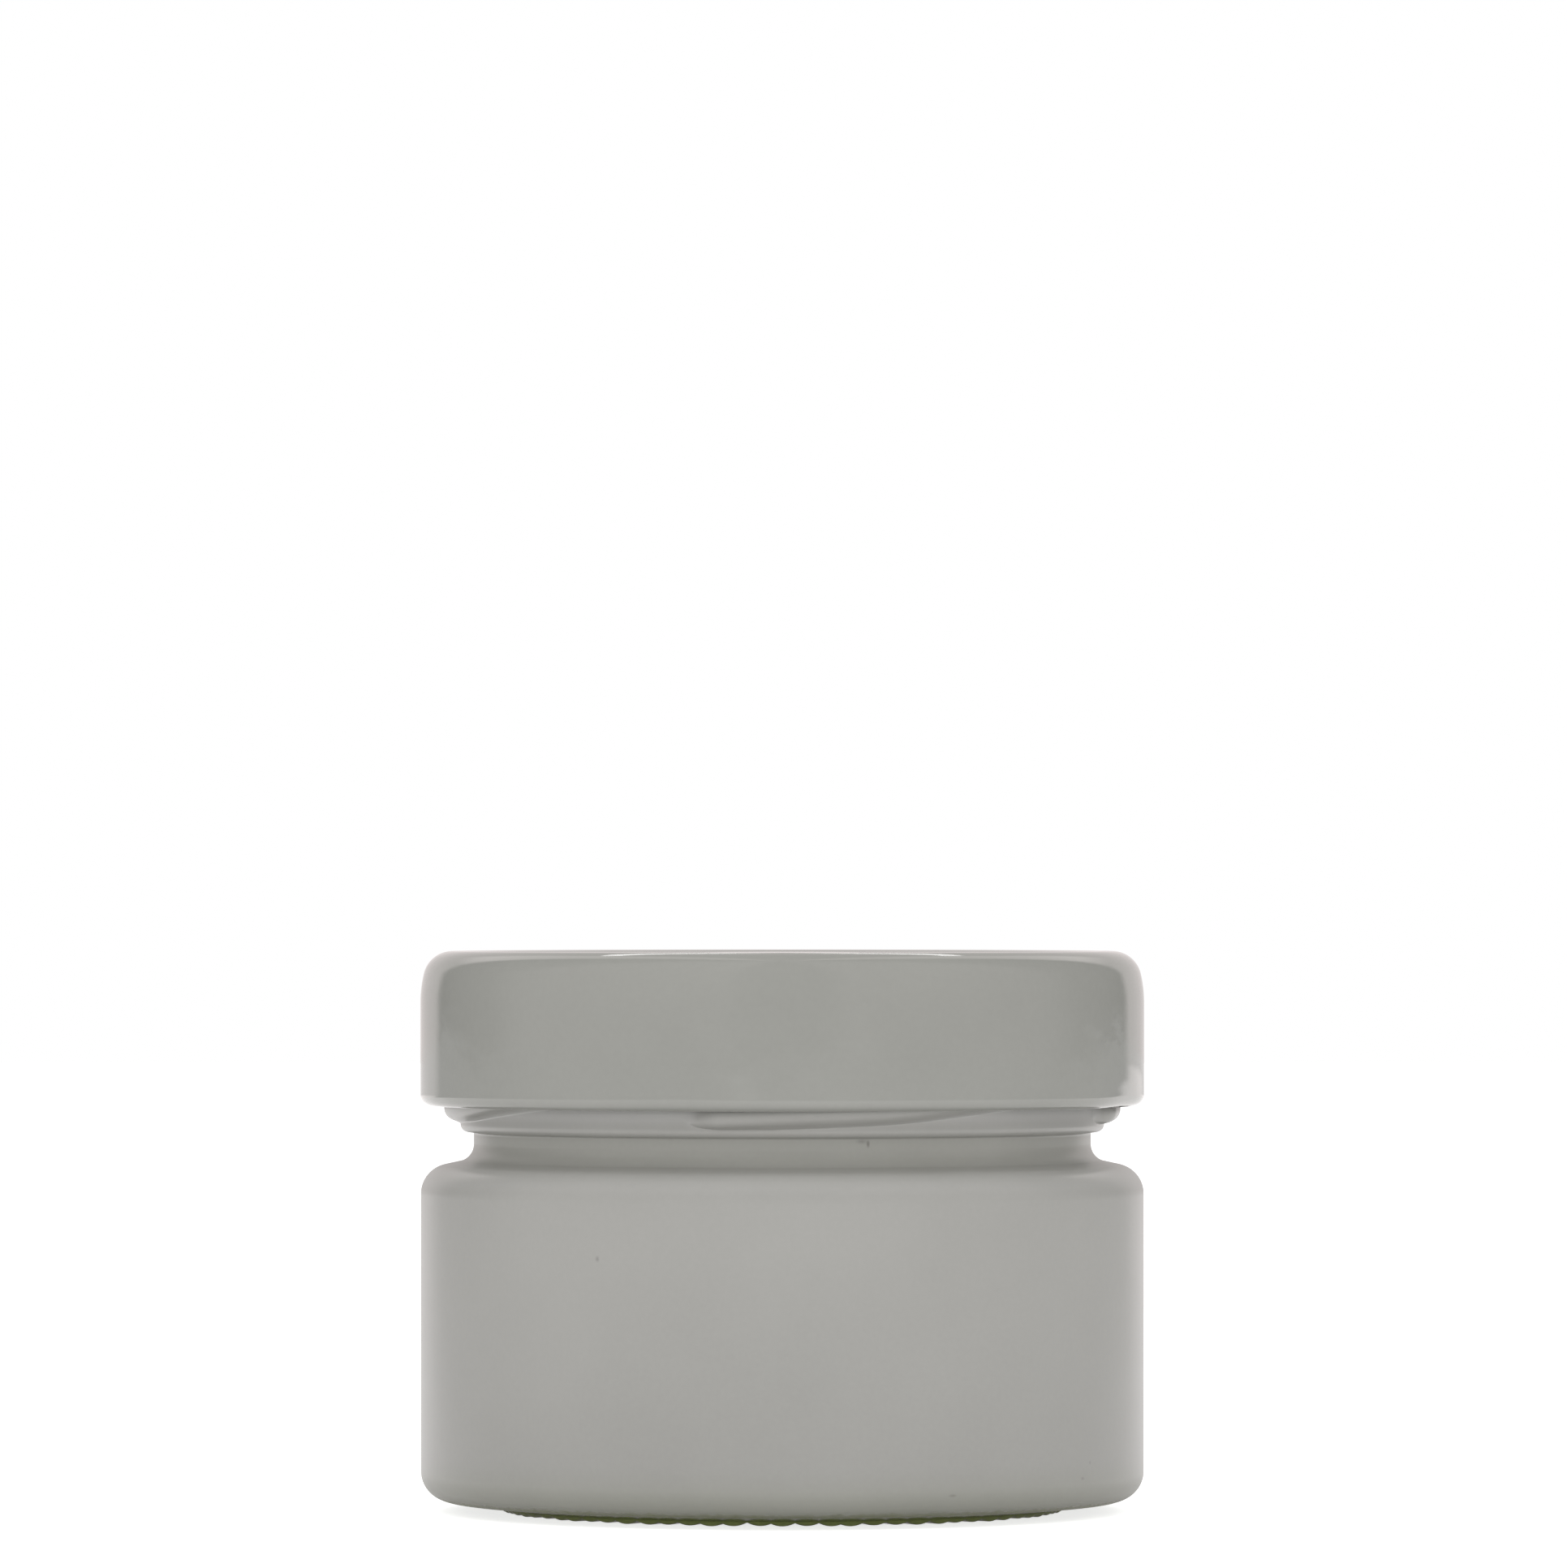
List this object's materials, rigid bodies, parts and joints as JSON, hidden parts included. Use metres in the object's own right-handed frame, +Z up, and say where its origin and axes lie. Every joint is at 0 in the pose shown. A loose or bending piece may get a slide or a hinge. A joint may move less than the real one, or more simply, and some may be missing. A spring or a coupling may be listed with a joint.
{
  "type": "twist-off glass jar",
  "caption": "Low, wide glass jar in grey lacquer with a tall metal twist-off lid screwed shut, on a knurled foot of bare green glass.",
  "frame": {"origin": "middle of the foot, on the surface that the jar stands on", "axes": "+Z up along the jar's axis; -Y is the front, where one thread ends just left of the middle"},
  "size_m": [0.0732, 0.0732, 0.0566],
  "materials": {
    "lacquered_glass": "satin opaque grey lacquer over glass, bare olive green glass at the foot",
    "lacquered_tin": "glossy warm grey enamel on tinplate"
  },
  "bodies": {
    "root": {"jar": "lacquered_glass", "lid": "lacquered_tin"}
  },
  "joints": []
}
